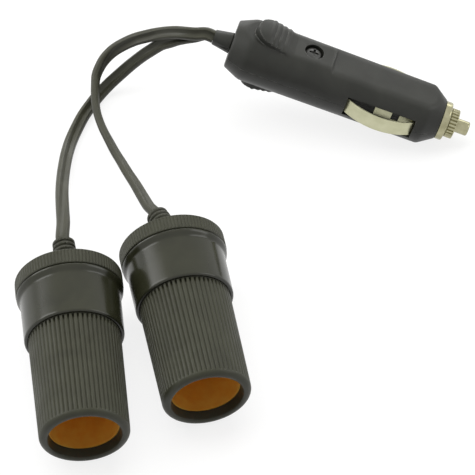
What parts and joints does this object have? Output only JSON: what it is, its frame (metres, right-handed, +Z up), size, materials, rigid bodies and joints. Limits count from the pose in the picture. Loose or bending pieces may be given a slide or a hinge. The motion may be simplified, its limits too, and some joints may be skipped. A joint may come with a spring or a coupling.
{
  "type": "vehicle power socket splitter",
  "caption": "Splitter for a vehicle power socket: a moulded plug with sprung side contacts and a fused nose feeds two open sockets through twin-core cords.",
  "frame": {"origin": "on the table, under the middle of the bounding box of the rigid pieces without the two cords", "axes": "+Z up from the table; +X towards the plug's nose side; +Y from the socket mouths towards the cords' far bend"},
  "size_m": [0.15, 0.1684, 0.037],
  "materials": {
    "black_body": "satin black moulding",
    "gloss_barrel": "glossy black moulding",
    "boot_rubber": "soft matte black",
    "cord_vinyl": "soft satin vinyl",
    "contact_metal": "pale nickel plate",
    "nose_metal": "pale nickel plate, turned",
    "liner_brass": "orange-gold plated",
    "lug_brass": "plain brass",
    "fuse_metal": "bright plated",
    "fuse_glass": "clear",
    "spring_steel": "bright wire",
    "dark_screw": "blackened",
    "insulator_board": "plain board"
  },
  "bodies": {
    "splitter": {"plug_upper_shell": "black_body", "plug_lower_shell": "black_body", "shell_screw": "dark_screw", "plug_cord_boot": "boot_rubber", "fuse_spring": "spring_steel", "live_terminal": "lug_brass", "ground_strap": "contact_metal", "left_sleeve": "black_body", "left_barrel": "gloss_barrel", "left_metal_liner": "liner_brass", "left_insulator": "insulator_board", "left_centre_contact": "lug_brass", "left_contact_nut": "fuse_metal", "left_live_lug": "lug_brass", "left_ground_lug": "lug_brass", "left_strain_relief": "boot_rubber", "left_cord": "cord_vinyl", "right_sleeve": "black_body", "right_barrel": "gloss_barrel", "right_metal_liner": "liner_brass", "right_insulator": "insulator_board", "right_centre_contact": "lug_brass", "right_contact_nut": "fuse_metal", "right_live_lug": "lug_brass", "right_ground_lug": "lug_brass", "right_strain_relief": "boot_rubber", "right_cord": "cord_vinyl"},
    "nose": {"nose_nut": "nose_metal"},
    "pin": {"centre_pin": "nose_metal", "fuse_glass": "fuse_glass", "fuse_caps": "fuse_metal", "fuse_wire": "fuse_metal"},
    "near_contact": {"near_side_contact": "contact_metal"},
    "far_contact": {"far_side_contact": "contact_metal"},
    "left_cap": {"left_rear_cap": "black_body"},
    "right_cap": {"right_rear_cap": "black_body"}
  },
  "joints": [
    {"name": "nose_out", "type": "slide", "parent": "splitter", "child": "nose", "axis": [0.9398, -0.2308, -0.2521], "range_m": [0, 0.0072]},
    {"name": "pin_in", "type": "slide", "parent": "nose", "child": "pin", "axis": [-0.9398, 0.2308, 0.2521], "range_m": [0, 0.0025], "stiffness_N_per_m": 600, "deforming": ["fuse_spring"]},
    {"name": "near_contact_in", "type": "slide", "parent": "splitter", "child": "near_contact", "axis": [0.22, 0.9729, -0.0709], "range_m": [0, 0.0021], "stiffness_N_per_m": 1500},
    {"name": "far_contact_in", "type": "slide", "parent": "splitter", "child": "far_contact", "axis": [-0.22, -0.9729, 0.0709], "range_m": [0, 0.0021], "stiffness_N_per_m": 1500},
    {"name": "left_cap_turn", "type": "hinge", "parent": "splitter", "child": "left_cap", "pos_m": [-0.05764, -0.02496, 0.0173], "axis": [-0.1217, 0.9909, 0.058], "range_deg": [0, 360]},
    {"name": "right_cap_turn", "type": "hinge", "parent": "splitter", "child": "right_cap", "pos_m": [-0.02484, -0.01104, 0.0173], "axis": [-0.2007, 0.9779, 0.058], "range_deg": [0, 360]}
  ]
}
